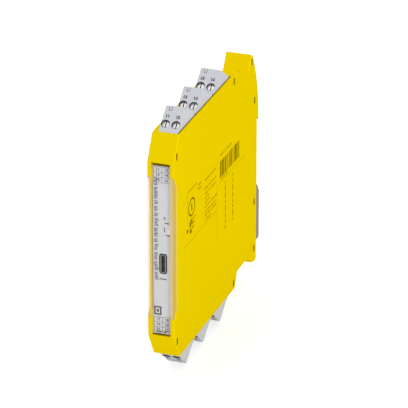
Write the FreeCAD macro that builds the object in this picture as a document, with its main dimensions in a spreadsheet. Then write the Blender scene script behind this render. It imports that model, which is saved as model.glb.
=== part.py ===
import FreeCAD, Part
import math
import os
import Sketcher

# Speed monitoring relay: a slim safety module for a 35 mm mounting rail.
# Millimetres. The rail lies behind the module: origin at the middle of the rail's front face,
# +X to the right of someone facing the front, +Y from the front towards the rail, +Z up.

doc = FreeCAD.newDocument("monitoring_relay")
V = FreeCAD.Vector

# Driving dimensions, each written once
DRIVING = (
    ("housing_width", 12.3, "over both side walls, for a 12.5 mm pitch on the rail"),
    ("housing_height", 104.4, "over the flat top and bottom edges"),
    ("housing_depth", 109.0, "front plane to the seat on the rail"),
    ("side_wall", 1.5, "left wall of the tray"),
    ("rim_wall", 1.5, "wall of the rim that joins the two sides"),
    ("cover_wall", 0.75, "right wall, a separate snapped cover"),
    ("edge_round", 0.55, "rounding of the outer edges of both side walls"),
    ("bevel_depth", 6.6, "run back of the bevels above and below the front"),
    ("bevel_height", 11.4, "rise of the same bevels"),
    ("rear_rib", 5.8, "full-height rib behind the last plug"),
    ("recess_depth", 6.8, "depth of the tool recess behind the rib"),
    ("recess_slope", 3.3, "run of the recess's front slope"),
    ("lobe_slope", 4.2, "run of the lobe's front slope"),
    ("lobe_length", 7.2, "lobe's peak to the seat on the rail"),
    ("rail_height", 35.0, "the rail's own height"),
    ("rail_lift", 1.7, "middle of the rail above the middle of the housing"),
    ("rail_flange", 1.0, "thickness of the rail"),
    ("flange_play", 0.3, "play of the rail's flange in the hook and in the latch"),
    ("hook_overlap", 1.3, "how far hook and latch reach over the rail's flanges"),
    ("hook_lip", 1.2, "thickness of the hook's lip"),
    ("seat_relief", 0.3, "back of the housing in front of the seat, beside the hook and the latch"),
    ("seat_margin", 0.1, "seat's edges clear of the hook's lip and the latch"),
    ("back_curve", 62.0, "radius of the curved back above the hook"),
    ("lobe_tip_run", 1.7, "lobe's peak to the curved back"),
    ("lobe_tip_drop", 1.3, "lobe's peak down to the curved back"),
    ("lobe_wall", 2.4, "wall of the lobe"),
    ("lobe_cavity_drop", 3.9, "top edge down to the hollow inside the lobe"),
    ("hook_brow", 1.5, "foot of the curved back above the rail"),
    ("hook_root", 5.0, "solid height above the rail"),
    ("heel_lift", 1.6, "heel of the housing above its bottom edge"),
    ("heel_chamfer", 1.0, "heel of the housing"),
    ("toe_lift", 2.4, "lowest lobe above the bottom edge"),
    ("plug_start", 7.2, "front plane to the first plug"),
    ("plug_pitch", 22.2, "one plug to the next"),
    ("plug_gap", 0.2, "gap between neighbouring plugs"),
    ("plug_play", 0.2, "play of a plug between the walls"),
    ("panel_play", 0.1, "play of the front panel and the clear cover"),
    ("plug_sink", 11.5, "depth of a plug below the top edge"),
    ("plug_run", 9.8, "front of a plug back to its ridge"),
    ("plug_tail", 0.4, "height of a plug's back edge above the top edge"),
    ("cell_wall", 2.45, "left wall beside the plugs"),
    ("pole_pitch", 4.7, "one screw to the next"),
    ("screw_run", 3.1, "front of a plug back to the middle of a screw, along the base"),
    ("thread_radius", 1.1, "terminal screw"),
    ("head_radius", 1.75, "terminal screw's head"),
    ("head_height", 1.5, "terminal screw's head"),
    ("head_sink", 0.9, "screw head below the plug's face"),
    ("driver_slot", 0.5, "width of the slot in a screw"),
    ("web", 0.8, "wall between a screw's head and its clamp"),
    ("clamp_travel", 2.0, "travel of a clamp cage"),
    ("clamp_width", 3.3, "clamp cage across the plug"),
    ("clamp_length", 3.4, "clamp cage along the wire"),
    ("clamp_bar", 1.0, "thickness of the cage's bars"),
    ("clamp_side", 0.5, "thickness of the cage's sides"),
    ("wire_room", 3.1, "open height of a clamp for the wire"),
    ("wire_hole", 2.3, "width of a wire entry"),
    ("funnel_width", 3.2, "mouth of a wire entry"),
    ("funnel_depth", 0.9, "depth of the mouth"),
    ("funnel_run", 5.6, "ridge of a plug back to the middle of the mouth"),
    ("contact_width", 2.2, "current bar across the plug"),
    ("contact_thick", 0.6, "thickness of the current bar"),
    ("fit_gap", 0.06, "running clearance between small fitted parts"),
    ("pin_size", 1.0, "square pins of the headers"),
    ("pin_setback", 5.6, "front of a plug back to its pins"),
    ("pin_reach", 6.2, "pins above the header"),
    ("header_height", 5.2, "header below the plugs"),
    ("board_thick", 1.6, "circuit board"),
    ("board_stand", 0.5, "bosses under the board"),
    ("boss_radius", 2.0, "bosses under the board"),
    ("panel_width", 8.2, "front panel"),
    ("panel_thick", 1.8, "front panel"),
    ("panel_back", 1.6, "front plane to the panel's face"),
    ("front_lip", 0.5, "housing beyond the panel, above and below"),
    ("cover_plate", 0.9, "thickness of the clear cover"),
    ("cover_skirt", 3.0, "depth of the clear cover's side skirts"),
    ("skirt_wall", 1.6, "thickness of the skirts"),
    ("skirt_top", 30.0, "inner top corner of the skirts above mid-height"),
    ("skirt_foot", 27.4, "inner bottom corner of the skirts below mid-height"),
    ("skirt_slope", 4.4, "rise of the skirts' slanted ends"),
    ("hinge_radius", 0.75, "barrel of the clear cover"),
    ("hinge_pin", 0.5, "radius of the barrel's end pins"),
    ("hinge_pin_length", 0.9, "length of the barrel's end pins"),
    ("hinge_drop", 1.2, "hinge axis below the front opening's top"),
    ("wing_top", 14.0, "top of the panel's wings above mid-height"),
    ("wing_foot", 9.5, "foot of the panel's wings below mid-height"),
    ("wing_depth", 2.4, "depth of the panel's wings behind the skirts"),
    ("usb_shift", 0.45, "middle of the socket right of the middle plane"),
    ("usb_drop", 6.6, "middle of the socket below mid-height"),
    ("usb_height", 8.94, "steel shell of the socket"),
    ("usb_width", 3.26, "steel shell of the socket"),
    ("usb_depth", 7.3, "steel shell of the socket"),
    ("usb_wall", 0.3, "steel shell of the socket"),
    ("usb_tongue_width", 0.7, "tongue of the socket"),
    ("usb_tongue_height", 6.2, "tongue of the socket"),
    ("lamp_shift", 1.9, "middle of the lamp window right of the middle plane"),
    ("lamp_lift", 11.0, "middle of the lamp window above mid-height"),
    ("lamp_width", 3.2, "lamp window"),
    ("lamp_height", 4.4, "lamp window"),
    ("lamp_length", 1.2, "lamps behind the window"),
    ("lamp_size", 0.8, "lamps behind the window"),
    ("can_radius", 3.15, "capacitor"),
    ("can_length", 12.0, "capacitor"),
    ("can_depth", 70.0, "front plane to the capacitor"),
    ("can_drop", 10.0, "capacitor below mid-height"),
    ("chip_thick", 1.0, "chips on the board"),
    ("board_corner", 3.0, "cut corners of the board"),
    ("tail_step", 1.6, "one row of pin tails to the next"),
    ("tail_drop", 2.0, "first row of pin tails below the header"),
    ("latch_top", 14.3, "top of the latch's nose below mid-height"),
    ("latch_length", 27.2, "outer plate of the latch"),
    ("latch_width", 11.6, "outer plate of the latch"),
    ("latch_neck", 6.0, "latch inside its channel"),
    ("latch_depth", 4.2, "channel of the latch into the housing"),
    ("latch_plate", 3.2, "thickness of the latch's outer plate"),
    ("latch_chamfer", 3.9, "slope of the latch's nose"),
    ("latch_tip", 0.6, "flat top of the latch's nose"),
    ("latch_hem", 1.7, "rim of the outer plate beyond the neck, and height of the pull tab"),
    ("latch_travel", 3.5, "pull of the latch that frees the rail"),
    ("latch_play", 0.1, "running clearance of the latch"),
    ("window_width", 1.3, "snap windows"),
    ("window_height", 3.2, "snap windows"),
    ("window_inset", 3.3, "middle of a snap window from the nearest edge"),
    ("window_pocket", 1.5, "snap pockets behind the windows"),
)
PLUGS_PER_SIDE = 3
SCREW_TILT = 40.0

# Blocks on the board: depth from the front, length, height of the middle, height, how tall
BLOCKS = (
    ("relay_upper", 34.0, 28.0, 10.0, 13.0, 6.6),
    ("relay_lower", 34.0, 28.0, -10.0, 13.0, 6.6),
    ("transformer", 70.0, 13.0, 8.0, 14.0, 6.8),
)
# Chips on the board: depth from the front, height of the lower edge, side
CHIPS = ((16.0, 22.0, 7.0), (16.0, 4.0, 9.0), (18.0, -24.0, 6.0))


class Size:
    """A length together with the sheet expression that gives it."""

    def __init__(self, value, text):
        self.value = value
        self.text = text

    def joined(self, sign, other, value):
        return Size(value, f"({self.text} {sign} {as_size(other).text})")

    def __add__(self, other):
        return self.joined("+", other, self.value + as_size(other).value)

    def __sub__(self, other):
        return self.joined("-", other, self.value - as_size(other).value)

    def __mul__(self, other):
        return self.joined("*", other, self.value * as_size(other).value)

    def __truediv__(self, other):
        return self.joined("/", other, self.value / as_size(other).value)

    def __radd__(self, other):
        return as_size(other) + self

    def __rsub__(self, other):
        return as_size(other) - self

    def __rmul__(self, other):
        return as_size(other) * self

    def __neg__(self):
        return as_size(0.0) - self


def as_size(number):
    """The same length as a Size."""
    if isinstance(number, Size):
        return number
    return Size(float(number), f"({float(number)})")


def sheet_of(name):
    """A new spreadsheet and its count of rows."""
    sheet = doc.addObject("Spreadsheet::Sheet", name)
    return {"sheet": sheet, "rows": 0}


def cell(book, alias, content, value, note=""):
    """One named cell, returned as a Size."""
    book["rows"] += 1
    row = book["rows"]
    book["sheet"].set(f"A{row}", alias)
    book["sheet"].set(f"B{row}", content)
    book["sheet"].set(f"C{row}", note)
    book["sheet"].setAlias(f"B{row}", alias)
    return Size(value, f"{book['sheet'].Name}.{alias}")


sizes = sheet_of("Sizes")
places = sheet_of("Places")


class Driving:
    """The driving dimensions by name."""


d = Driving()
for alias, number, note in DRIVING:
    setattr(d, alias, cell(sizes, alias, str(number), number, note))


def place(alias, size):
    """A worked-out place, kept in the second sheet."""
    return cell(places, alias, "=" + size.text, size.value)


# Places that several sub-parts share
right = place("right_face", d.housing_width / 2)
seam = place("seam", right - d.cover_wall)
tray_floor = place("tray_floor", d.side_wall - right)
front = place("front_plane", -d.housing_depth)
middle = place("mid_height", -d.rail_lift)
half = place("half_height", d.housing_height / 2)
bend = place("front_bend", half - d.bevel_height)
cells_end = place("cells_end", front + d.plug_start + PLUGS_PER_SIDE * d.plug_pitch)
rib_end = place("rib_end", cells_end + d.rear_rib)
recess = place("recess_level", half - d.recess_depth)
lobe_peak = place("lobe_peak", -d.lobe_length)
recess_end = place("recess_end", lobe_peak - d.lobe_slope)
rail_top = place("rail_top", d.rail_height / 2)
hook_back = place("hook_back", d.rail_flange + d.flange_play + d.hook_lip)
opening_top = place("opening_top", bend - d.front_lip)
hinge_z = place("hinge_height", middle + opening_top - d.hinge_drop)
hinge_y = place("hinge_depth", front + d.hinge_radius)
cell_left = place("cell_left", d.cell_wall - right)
plug_width = place("plug_width", seam - cell_left - 2 * d.plug_play)
plug_middle = place("plug_middle", (seam + cell_left) / 2)
plug_length = place("plug_length", d.plug_pitch - d.plug_gap)
header_level = place("header_level", half - d.plug_sink)
board_left = place("board_left", tray_floor + d.board_stand)
board_right = place("board_right", board_left + d.board_thick)
board_front = place("board_front", front + d.panel_back + d.panel_thick + 2)
board_back = place("board_back", -d.latch_depth - d.rim_wall - 2)
board_half = place("board_half", header_level - d.header_height - 0.2)
room_front = place("room_front", front + d.panel_back + d.panel_thick + 1)
room_half = place("room_half", header_level - 2)
skirt_back = place("skirt_back", front + d.cover_skirt)
panel_face = place("panel_face", front + d.panel_back)

SIDE = "YZ_Plane"
FRONT = "XZ_Plane"
PLAN = "XY_Plane"


def body_of(name):
    """A new sub-part."""
    body = doc.addObject("PartDesign::Body", name)
    body.Label = name
    return body


def sketch_on(body, name, role, shift=None):
    """A sketch on one of the sub-part's own origin planes, moved along its normal by shift."""
    plane = next(item for item in body.Origin.OriginFeatures if item.Role == role)
    sketch = body.newObject("Sketcher::SketchObject", name)
    sketch.AttachmentSupport = [(plane, "")]
    sketch.MapMode = "FlatFace"
    if shift is not None:
        sketch.setExpression("AttachmentOffset.Base.z", as_size(shift).text)
    return sketch


def pin_down(sketch, geometry, point, across, along):
    """Ties one point of the sketch to two lengths measured from the sketch's origin."""
    for kind, size in (("DistanceX", across), ("DistanceY", along)):
        number = sketch.addConstraint(Sketcher.Constraint(kind, -1, 1, geometry, point, size.value))
        sketch.setExpression(f"Constraints[{number}]", size.text)


def outward_arc(start, end, radius):
    """Arc that bulges to the left of the way from start to end. It runs anticlockwise, from end to start."""
    chord = end - start
    side = V(-chord.y, chord.x, 0).normalize()
    centre = (start + end) / 2 - side * math.sqrt(radius ** 2 - (chord.Length / 2) ** 2)
    from_angle = math.atan2(end.y - centre.y, end.x - centre.x)
    to_angle = math.atan2(start.y - centre.y, start.x - centre.x)
    return Part.ArcOfCircle(Part.Circle(centre, V(0, 0, 1), radius), from_angle, to_angle)


def outline(sketch, points, curved=None):
    """A closed outline through the points. curved gives the radius of the edge that leaves a point."""
    curved = curved or {}
    pairs = [(as_size(across), as_size(along)) for across, along in points]
    corners = [V(across.value, along.value, 0) for across, along in pairs]
    first = sketch.GeometryCount
    ends = {}
    for i, start in enumerate(corners):
        end = corners[(i + 1) % len(corners)]
        if i in curved:
            sketch.addGeometry(outward_arc(start, end, curved[i].value))
            ends[i] = (2, 1)
        else:
            sketch.addGeometry(Part.LineSegment(start, end))
            ends[i] = (1, 2)
    for i, (across, along) in enumerate(pairs):
        before = (i - 1) % len(pairs)
        sketch.addConstraint(
            Sketcher.Constraint("Coincident", first + before, ends[before][1], first + i, ends[i][0])
        )
        pin_down(sketch, first + i, ends[i][0], across, along)
    for i, radius in curved.items():
        number = sketch.addConstraint(Sketcher.Constraint("Radius", first + i, radius.value))
        sketch.setExpression(f"Constraints[{number}]", radius.text)
    return sketch


def circle(sketch, across, along, radius):
    """A circle at a tied place with a tied radius."""
    across, along, radius = as_size(across), as_size(along), as_size(radius)
    number = sketch.addGeometry(Part.Circle(V(across.value, along.value, 0), V(0, 0, 1), radius.value))
    pin_down(sketch, number, 3, across, along)
    bound = sketch.addConstraint(Sketcher.Constraint("Radius", number, radius.value))
    sketch.setExpression(f"Constraints[{bound}]", radius.text)
    return sketch


def grow(body, sketch, length, kind="PartDesign::Pad", both=False, turned=False):
    """A pad or pocket of the sketch."""
    feature = body.newObject(kind, sketch.Name + ("_cut" if kind.endswith("Pocket") else "_pad"))
    feature.Profile = sketch
    feature.setExpression("Length", as_size(length).text)
    if both:
        feature.SideType = "Symmetric"
    feature.Reversed = turned
    sketch.Visibility = False
    return feature


def slab(body, name, points, width, centre=0.0, curved=None, cut=False):
    """A side profile made as wide as width across the module, about the plane X = centre."""
    sketch = outline(sketch_on(body, name, SIDE, centre), points, curved)
    kind = "PartDesign::Pocket" if cut else "PartDesign::Pad"
    return grow(body, sketch, width, kind, both=True)


def rectangle(low_a, high_a, low_b, high_b):
    """The corners of an upright rectangle."""
    return [(low_a, low_b), (high_a, low_b), (high_a, high_b), (low_a, high_b)]


def round_face(body, name, axis_value, radius):
    """Rounds the edges of the face at X = axis_value, from the front round to the curved back."""
    doc.recompute()
    base = body.Tip
    edges = []
    for number, edge in enumerate(base.Shape.Edges, start=1):
        on_face = all(abs(vertex.X - axis_value.value) < 1e-6 for vertex in edge.Vertexes)
        by_rail = min(vertex.Y for vertex in edge.Vertexes) > lobe_peak.value + d.heel_chamfer.value / 2
        if on_face and (not by_rail or edge.Curve.TypeId == "Part::GeomCircle"):
            edges.append(f"Edge{number}")
    fillet = body.newObject("PartDesign::Fillet", name)
    fillet.Base = (base, edges)
    fillet.setExpression("Radius", radius.text)
    return fillet


def side_outline():
    """The housing seen from the right, and the radius of its curved back."""
    top = middle + half
    foot = middle - half
    points = [
        (front, middle - bend),
        (front, middle + bend),
        (front + d.bevel_depth, top),
        (rib_end, top),
        (rib_end + d.recess_slope, middle + recess),
        (recess_end, middle + recess),
        (lobe_peak, top),
        (lobe_peak + d.lobe_tip_run, top - d.lobe_tip_drop),
        (hook_back, rail_top + d.hook_brow),
        (hook_back, rail_top - d.hook_overlap),
        (hook_back - d.hook_lip, rail_top - d.hook_overlap),
        (hook_back - d.hook_lip, rail_top + d.flange_play),
        (-d.seat_relief, rail_top + d.flange_play),
        (-d.seat_relief, rail_top - d.hook_overlap - d.seat_margin),
        (0.0, rail_top - d.hook_overlap - d.seat_margin),
        (0.0, middle - d.latch_top + d.seat_margin),
        (-d.seat_relief, middle - d.latch_top + d.seat_margin),
        (-d.seat_relief, foot + d.heel_lift + d.heel_chamfer),
        (-d.seat_relief - d.heel_chamfer, foot + d.heel_lift),
        (lobe_peak + d.heel_chamfer, foot + d.toe_lift),
        (recess_end, middle - recess),
        (rib_end + d.recess_slope, middle - recess),
        (rib_end, foot),
        (front + d.bevel_depth, foot),
    ]
    return points, {7: d.back_curve}


def skirt_notch(margin):
    """The cut at the front of both walls that takes the clear cover's skirts."""
    return [
        (front - 1, middle - d.skirt_foot - d.skirt_slope - d.skirt_slope / d.cover_skirt - margin),
        (skirt_back + margin, middle - d.skirt_foot - margin),
        (skirt_back + margin, middle + d.skirt_top + margin),
        (front - 1, middle + d.skirt_top + d.skirt_slope + d.skirt_slope / d.cover_skirt + margin),
    ]


def window_places():
    """Depth and height of the middle of each snap window."""
    behind_bevel = front + d.window_inset
    in_rib = rib_end - d.window_width - 0.7
    return [
        (behind_bevel, middle + bend + d.window_height / 2 + 1),
        (behind_bevel, middle - bend - d.window_height / 2 - 1),
        (in_rib, middle + half - d.window_inset),
        (in_rib, middle - half + d.window_inset),
        (lobe_peak, middle + half - d.window_inset - 0.1),
        (-d.window_inset, rail_top + 3 * d.window_height),
        (-d.window_inset, middle - d.latch_top - 2 * d.window_height),
        (-d.window_inset, middle - recess + d.window_height / 2),
    ]


def window_cut(body, name, depth, face):
    """Snap windows cut from the plane X = face."""
    sketch = sketch_on(body, name, SIDE, face)
    for across, along in window_places():
        outline(sketch, rectangle(
            across - d.window_width / 2, across + d.window_width / 2,
            along - d.window_height / 2, along + d.window_height / 2,
        ))
    grow(body, sketch, depth, "PartDesign::Pocket")


# Housing tray
def make_housing():
    body = body_of("housing_shell")
    points, curved = side_outline()
    width = seam + right
    centre = (seam - right) / 2
    slab(body, "tray_outline", points, width, centre, curved)
    round_face(body, "tray_round", -right, d.edge_round)

    # Hollow behind the front panel, up into the rear block and down to the latch channel
    latch_roof = middle - d.latch_top + d.rim_wall + 1
    hollow = [
        (room_front, middle - room_half),
        (room_front, middle + room_half),
        (cells_end + d.rim_wall, middle + room_half),
        (cells_end + d.rim_wall, middle + recess - d.rim_wall),
        (recess_end + d.lobe_wall, middle + recess - d.rim_wall),
        (lobe_peak - d.lobe_wall / 4, middle + half - d.lobe_cavity_drop),
        (-d.rim_wall, rail_top + d.hook_root),
        (-d.rim_wall, latch_roof),
        (-d.latch_depth - d.rim_wall, latch_roof),
        (-d.latch_depth - d.rim_wall, middle - recess + d.rim_wall),
        (cells_end + d.rim_wall, middle - recess + d.rim_wall),
        (cells_end + d.rim_wall, middle - room_half),
    ]
    inner_width = seam - tray_floor
    slab(body, "hollow", hollow, inner_width, (seam + tray_floor) / 2, cut=True)

    # Cells of the plugs, open to the top and to the bottom
    cell_width = seam - cell_left
    for side, sign in (("top", 1), ("bottom", -1)):
        low = room_half - 0.5
        cells = rectangle(
            front + d.plug_start - d.plug_gap / 2, cells_end, middle + sign * low, middle + sign * (half + 1)
        )
        slab(body, side + "_cells", cells, cell_width, plug_middle, cut=True)

    # Front opening, notches of the skirts and pockets of the panel's wings
    opening = rectangle(front - 1, room_front + 1, middle - opening_top, middle + opening_top)
    slab(body, "front_opening", opening, d.panel_width + 2 * d.panel_play, cut=True)
    slab(body, "skirt_notches", skirt_notch(d.panel_play), 3 * right, cut=True)
    wings = rectangle(
        front - 1, skirt_back + d.wing_depth + d.panel_play,
        middle - d.wing_foot - d.panel_play, middle + d.wing_top + d.panel_play,
    )
    slab(body, "wing_pockets", wings, 2 * seam, cut=True)

    # Bearings of the clear cover's end pins
    sketch = circle(sketch_on(body, "cover_bearing", SIDE), hinge_y, hinge_z, d.hinge_pin + d.fit_gap)
    reach = d.panel_width + 2 * d.hinge_pin_length + 2 * d.panel_play
    grow(body, sketch, reach, "PartDesign::Pocket", both=True)

    # Channel of the foot latch, open at the back and at the bottom
    channel_half = d.latch_neck / 2 + d.latch_play
    channel = rectangle(
        -d.latch_depth - d.latch_play, 1.0, middle - half - 1, middle - d.latch_top + d.latch_play
    )
    slab(body, "latch_channel", channel, 2 * channel_half, cut=True)

    # Pockets behind the snap windows
    window_cut(body, "snap_pockets", d.window_pocket, seam)

    # Bosses that the board sits on
    sketch = sketch_on(body, "board_bosses", SIDE, tray_floor)
    for across in (board_front + 3 * d.boss_radius, board_back - 4 * d.boss_radius):
        for sign in (-1, 1):
            circle(sketch, across, middle + sign * (board_half - 2 * d.boss_radius), d.boss_radius)
    grow(body, sketch, d.board_stand)
    return body


def make_side_cover():
    body = body_of("side_cover")
    points, curved = side_outline()
    slab(body, "cover_outline", points, d.cover_wall, (seam + right) / 2, curved)
    slab(body, "cover_notch", skirt_notch(d.panel_play), 3 * d.cover_wall, (seam + right) / 2, cut=True)
    round_face(body, "cover_round", right, d.edge_round)
    window_cut(body, "snap_windows", d.cover_wall, right)
    return body


# Front
def usb_outline(sketch, width, height):
    """Rounded upright slot about the socket's middle."""
    radius = width / 2
    reach = height / 2 - radius
    low = middle - d.usb_drop - reach
    high = middle - d.usb_drop + reach
    left_x = d.usb_shift - radius
    right_x = d.usb_shift + radius
    points = [(right_x, low), (right_x, high), (left_x, high), (left_x, low)]
    pairs = [(as_size(a), as_size(b)) for a, b in points]
    first = sketch.GeometryCount
    centre = d.usb_shift.value
    for start, stop, z in ((0, math.pi, high.value), (math.pi, 2 * math.pi, low.value)):
        sketch.addGeometry(
            Part.ArcOfCircle(Part.Circle(V(centre, z, 0), V(0, 0, 1), radius.value), start, stop)
        )
    sketch.addGeometry(Part.LineSegment(V(right_x.value, low.value, 0), V(right_x.value, high.value, 0)))
    sketch.addGeometry(Part.LineSegment(V(left_x.value, high.value, 0), V(left_x.value, low.value, 0)))
    upper, lower, right_line, left_line = first, first + 1, first + 2, first + 3
    for arc, begins, ends in ((upper, right_line, left_line), (lower, left_line, right_line)):
        sketch.addConstraint(Sketcher.Constraint("Tangent", arc, 1, begins, 2))
        sketch.addConstraint(Sketcher.Constraint("Coincident", arc, 2, ends, 1))
    pin_down(sketch, right_line, 1, *pairs[0])
    pin_down(sketch, right_line, 2, *pairs[1])
    pin_down(sketch, left_line, 1, *pairs[2])
    pin_down(sketch, left_line, 2, *pairs[3])
    return sketch


def make_front_panel():
    body = body_of("front_panel")
    face = panel_face
    back = face + d.panel_thick
    reach = opening_top - d.panel_play
    slab(body, "plate", rectangle(face, back, middle - reach, middle + reach), d.panel_width)
    wings = rectangle(
        skirt_back + d.panel_play, skirt_back + d.wing_depth, middle - d.wing_foot, middle + d.wing_top
    )
    slab(body, "wings", wings, 2 * (seam - d.panel_play))
    slot = sketch_on(body, "usb_slot", FRONT, -(skirt_back + d.wing_depth + 1))
    usb_outline(slot, d.usb_width + 2 * d.fit_gap, d.usb_height + 2 * d.fit_gap)
    grow(body, slot, 3 * d.panel_thick + d.wing_depth, "PartDesign::Pocket", turned=True)
    window = sketch_on(body, "lamp_window", FRONT, -(skirt_back + d.wing_depth + 1))
    outline(window, rectangle(
        d.lamp_shift - d.lamp_width / 2, d.lamp_shift + d.lamp_width / 2,
        middle + d.lamp_lift - d.lamp_height / 2, middle + d.lamp_lift + d.lamp_height / 2,
    ))
    grow(body, window, 3 * d.panel_thick + d.wing_depth, "PartDesign::Pocket", turned=True)
    return body


def make_clear_cover():
    body = body_of("clear_cover")
    foot = middle - opening_top + 2 * d.front_lip
    plate = rectangle(front, front + d.cover_plate, foot, hinge_z)
    slab(body, "plate", plate, d.panel_width)
    sketch = circle(sketch_on(body, "barrel", SIDE), hinge_y, hinge_z, d.hinge_radius)
    grow(body, sketch, d.panel_width, both=True)
    sketch = circle(sketch_on(body, "end_pins", SIDE), hinge_y, hinge_z, d.hinge_pin)
    grow(body, sketch, d.panel_width + 2 * d.hinge_pin_length, both=True)
    skirts = [
        (front, middle - d.skirt_foot - d.skirt_slope),
        (skirt_back, middle - d.skirt_foot),
        (skirt_back, middle + d.skirt_top),
        (front, middle + d.skirt_top + d.skirt_slope),
    ]
    slab(body, "skirts", skirts, d.housing_width)
    inside = rectangle(
        front + d.cover_plate, skirt_back + 1,
        middle - d.skirt_foot - d.skirt_slope - 1, middle + d.skirt_top + d.skirt_slope + 1,
    )
    slab(body, "inside", inside, d.housing_width - 2 * d.skirt_wall, cut=True)
    notch = [
        (front - 1, foot - 1),
        (front + d.cover_plate / 2, foot - 1),
        (front + d.cover_plate / 2, foot + d.cover_plate / 2),
        (front - 1, foot + 2 * d.cover_plate),
    ]
    slab(body, "finger_notch", notch, d.panel_width / 2, cut=True)
    return body


def make_usb():
    shell = body_of("usb_shell")
    sketch = sketch_on(shell, "shell_outline", FRONT, -(panel_face + d.panel_play))
    usb_outline(sketch, d.usb_width, d.usb_height)
    grow(shell, sketch, d.usb_depth, turned=True)
    sketch = sketch_on(shell, "mouth", FRONT, -(panel_face + d.panel_play))
    usb_outline(sketch, d.usb_width - 2 * d.usb_wall, d.usb_height - 2 * d.usb_wall)
    grow(shell, sketch, d.usb_depth - 1, "PartDesign::Pocket")
    tongue = body_of("usb_tongue")
    sketch = sketch_on(tongue, "tongue_outline", FRONT, -(panel_face + d.usb_depth - 0.9))
    outline(sketch, rectangle(
        d.usb_shift - d.usb_tongue_width / 2, d.usb_shift + d.usb_tongue_width / 2,
        middle - d.usb_drop - d.usb_tongue_height / 2, middle - d.usb_drop + d.usb_tongue_height / 2,
    ))
    grow(tongue, sketch, d.usb_depth - 2)
    return shell, tongue


def block(name, low, high):
    """A plain block between two corners, bound to the sheet."""
    box = doc.addObject("Part::Box", name)
    box.Label = name
    for side, low_side, high_side in zip(("Length", "Width", "Height"), low, high):
        box.setExpression(side, (as_size(high_side) - low_side).text)
    for axis, low_side in zip("xyz", low):
        box.setExpression(f"Placement.Base.{axis}", as_size(low_side).text)
    return box


def make_lamps():
    pipe_front = panel_face + d.panel_play
    pipe_back = board_front + 2 * d.panel_play
    half_height = d.lamp_height / 2 - d.fit_gap
    pipe = block(
        "light_pipe",
        (d.lamp_shift - d.lamp_width / 2 + d.fit_gap, pipe_front, middle + d.lamp_lift - half_height),
        (d.lamp_shift + d.lamp_width / 2 - d.fit_gap, pipe_back, middle + d.lamp_lift + half_height),
    )
    lamps = body_of("status_lamps")
    sketch = sketch_on(lamps, "lamps", SIDE, board_right)
    for step in (-1, 0, 1):
        along = middle + d.lamp_lift + step * d.lamp_height / 3
        near = pipe_back + d.panel_play
        outline(sketch, rectangle(
            near, near + d.lamp_length, along - d.lamp_size / 2, along + d.lamp_size / 2
        ))
    grow(lamps, sketch, d.lamp_shift - board_right)
    return pipe, lamps


# Board and what it carries
def make_board():
    body = body_of("main_board")
    corner = d.board_corner
    points = [
        (board_front, middle - board_half + corner),
        (board_front, middle + board_half - corner),
        (board_front + corner, middle + board_half),
        (board_back - corner, middle + board_half),
        (board_back, middle + board_half - corner),
        (board_back, middle - board_half + corner),
        (board_back - corner, middle - board_half),
        (board_front + corner, middle - board_half),
    ]
    slab(body, "board", points, d.board_thick, (board_left + board_right) / 2)
    return body


def on_board(name, depth, length, height_middle, height, tall):
    """A block that stands on the board: depth from the front, height about mid-height."""
    low = (board_right, front + depth, middle + height_middle - height / 2)
    high = (board_right + tall, front + depth + length, middle + height_middle + height / 2)
    return block(name, low, high)


def make_components():
    for name, depth, length, height_middle, height, tall in BLOCKS:
        on_board(name, depth, length, height_middle, height, tall)
    can = doc.addObject("Part::Cylinder", "capacitor")
    can.Label = "capacitor"
    can.Placement = FreeCAD.Placement(V(0, 0, 0), FreeCAD.Rotation(V(1, 0, 0), -90))
    can.setExpression("Radius", d.can_radius.text)
    can.setExpression("Height", d.can_length.text)
    can.setExpression("Placement.Base.x", (board_right + d.can_radius).text)
    can.setExpression("Placement.Base.y", (front + d.can_depth).text)
    can.setExpression("Placement.Base.z", (middle - d.can_drop).text)
    chips = body_of("logic_chips")
    sketch = sketch_on(chips, "chips", SIDE, board_right)
    for depth, lift, size in CHIPS:
        low_y = front + depth
        low_z = middle + lift
        outline(sketch, rectangle(low_y, low_y + size, low_z, low_z + size))
    grow(chips, sketch, d.chip_thick)


def plug_front(index):
    """Depth of the front of plug number index."""
    return front + d.plug_start + index * d.plug_pitch


def pole_places():
    """Distance of each pole from the middle of its plug."""
    return (("left", -d.pole_pitch / 2), ("right", d.pole_pitch / 2))


def make_pins(side, sign):
    """Header blocks with square holes, and the bent pins that stand in them."""
    low = header_level - d.header_height
    header = body_of(side + "_header")
    pins = body_of(side + "_pins")
    blocks = sketch_on(header, "blocks", PLAN, middle + sign * low)
    posts = sketch_on(pins, "posts", PLAN, middle + sign * low)
    for index in range(PLUGS_PER_SIDE):
        start = plug_front(index)
        outline(blocks, rectangle(
            plug_middle - plug_width / 2, plug_middle + plug_width / 2, start, start + plug_length
        ))
        near = start + d.pin_setback - d.pin_size / 2
        for _, shift in pole_places():
            x = plug_middle + sign * shift
            square = rectangle(x - d.pin_size / 2, x + d.pin_size / 2, near, near + d.pin_size)
            outline(blocks, square)
            outline(posts, square)
    grow(header, blocks, d.header_height, turned=sign < 0)
    grow(pins, posts, d.header_height + d.pin_reach, turned=sign < 0)
    for number, (_, shift) in enumerate(pole_places()):
        x = plug_middle + shift
        drop = d.tail_drop + number * d.tail_step
        tails = sketch_on(pins, f"tails_{number}", PLAN, middle + sign * low)
        legs = sketch_on(pins, f"legs_{number}", PLAN, middle + sign * (low - drop))
        for index in range(PLUGS_PER_SIDE):
            near = plug_front(index) + d.pin_setback - d.pin_size / 2
            outline(tails, rectangle(x - d.pin_size / 2, x + d.pin_size / 2, near, near + d.pin_size))
            outline(legs, rectangle(board_right, x + d.pin_size / 2, near, near + d.pin_size))
        grow(pins, tails, drop, turned=sign > 0)
        grow(pins, legs, d.pin_size, turned=sign < 0)
    return header, pins


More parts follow.
